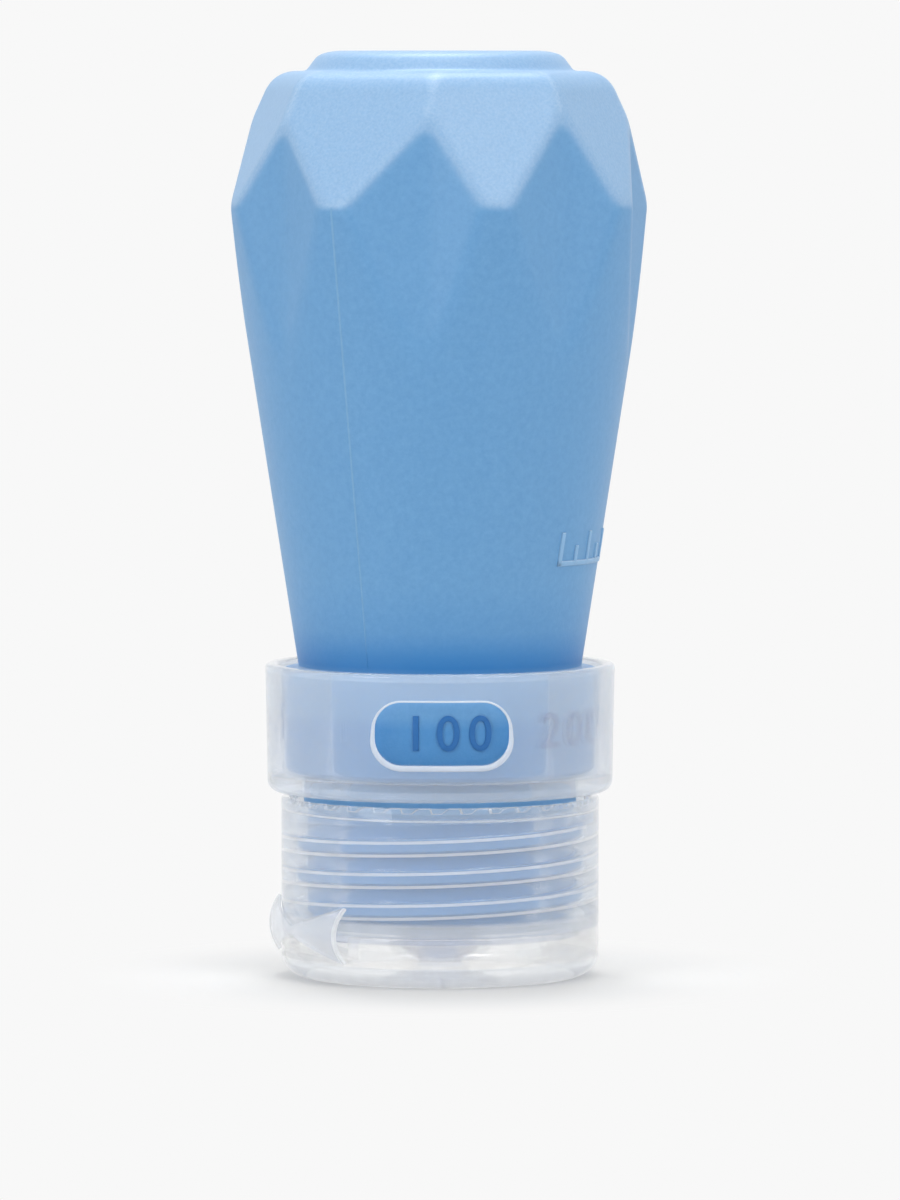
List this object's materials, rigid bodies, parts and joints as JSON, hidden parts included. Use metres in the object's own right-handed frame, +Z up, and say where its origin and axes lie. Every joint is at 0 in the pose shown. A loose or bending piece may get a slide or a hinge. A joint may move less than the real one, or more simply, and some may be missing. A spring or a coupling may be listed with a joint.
{
  "type": "travel silicone bottle",
  "caption": "Squeezable silicone travel bottle with a faceted base, turning label collar, screw cap and hinged flip lid, standing on its lid.",
  "frame": {"origin": "centre of the lid's flat top, which the bottle stands on", "axes": "+Z up along the bottle's axis from the lid to the bottle's base, -Y to the front, where the collar's window is"},
  "size_m": [0.0524, 0.0524, 0.1157],
  "materials": {
    "blue_silicone": "matt moulded silicone",
    "frosted_plastic": "translucent moulded polypropylene",
    "clear_silicone": "clear moulded silicone"
  },
  "bodies": {
    "bottle": {"squeeze_bottle": "blue_silicone"},
    "label_collar": {"label_collar": "frosted_plastic"},
    "valve_disc": {"valve_disc": "clear_silicone"},
    "screw_cap": {"screw_cap": "frosted_plastic", "butterfly_hinge": "frosted_plastic"},
    "flip_lid": {"flip_lid": "frosted_plastic"}
  },
  "joints": [
    {"name": "collar_turn", "type": "hinge", "parent": "bottle", "child": "label_collar", "pos_m": [0, 0, 0.03135], "axis": [0, 0, 1], "continuous": true},
    {"name": "cap_travel", "type": "slide", "parent": "bottle", "child": "valve_disc", "axis": [0, 0, -1], "range_m": [0, 0.0118]},
    {"name": "cap_turn", "type": "hinge", "parent": "valve_disc", "child": "screw_cap", "pos_m": [0, 0, 0.01445], "axis": [0, 0, -1], "range_deg": [0, 1080]},
    {"name": "lid_flip", "type": "hinge", "parent": "screw_cap", "child": "flip_lid", "pos_m": [-0.01818, -0.00809, 0.0064], "axis": [-0.4067, 0.9135, 0], "range_deg": [0, 150], "deforming": ["butterfly_hinge"]}
  ],
  "couplings": [
    {"joint": "cap_travel", "follows": "cap_turn", "m_per_rad": 0.0006207}
  ]
}
